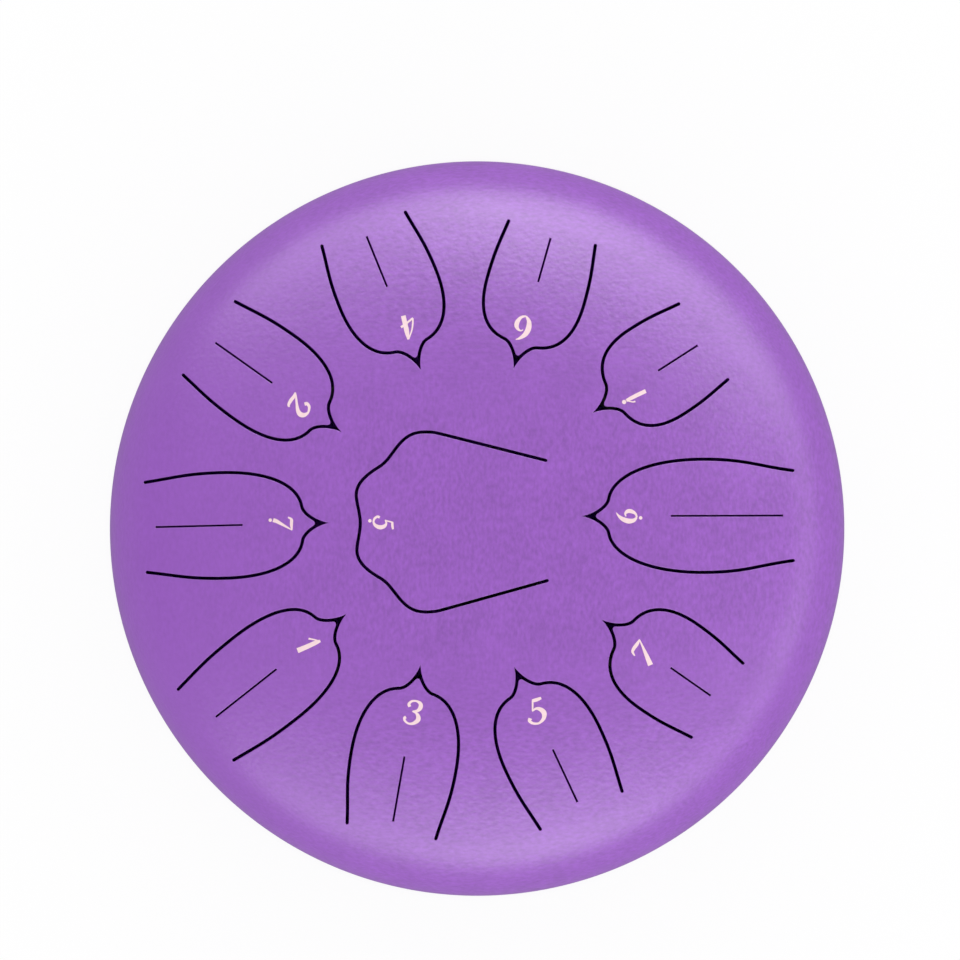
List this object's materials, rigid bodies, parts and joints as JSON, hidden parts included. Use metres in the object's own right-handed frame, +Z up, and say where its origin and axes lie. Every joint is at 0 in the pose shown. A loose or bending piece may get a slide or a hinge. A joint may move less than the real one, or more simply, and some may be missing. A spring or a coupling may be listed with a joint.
{
  "type": "steel tongue drum",
  "caption": "Domed steel tongue drum with petal-shaped tongues slit through its top shell, a sound hole in its flat base and rubber feet.",
  "frame": {"origin": "centre of the drum on the plane that its feet stand on", "axes": "+Z up along the drum's axis, +X towards the root of the middle tongue"},
  "size_m": [0.305, 0.305, 0.1716],
  "materials": {
    "painted_shell": "satin violet paint with a fine leather-like grain",
    "foot_rubber": "matte black",
    "plated_steel": "bright zinc plate",
    "numeral_paint": "pale pinkish beige paint"
  },
  "bodies": {
    "root": {"top_shell": "painted_shell", "bottom_shell": "painted_shell", "rim_weld": "painted_shell", "foot_1": "foot_rubber", "foot_2": "foot_rubber", "foot_3": "foot_rubber", "foot_4": "foot_rubber", "foot_washer_1": "plated_steel", "foot_washer_2": "plated_steel", "foot_washer_3": "plated_steel", "foot_washer_4": "plated_steel", "foot_screw_1": "plated_steel", "foot_screw_2": "plated_steel", "foot_screw_3": "plated_steel", "foot_screw_4": "plated_steel", "inner_washer_1": "plated_steel", "inner_washer_2": "plated_steel", "inner_washer_3": "plated_steel", "inner_washer_4": "plated_steel", "foot_nut_1": "plated_steel", "foot_nut_2": "plated_steel", "foot_nut_3": "plated_steel", "foot_nut_4": "plated_steel"}
  },
  "joints": []
}
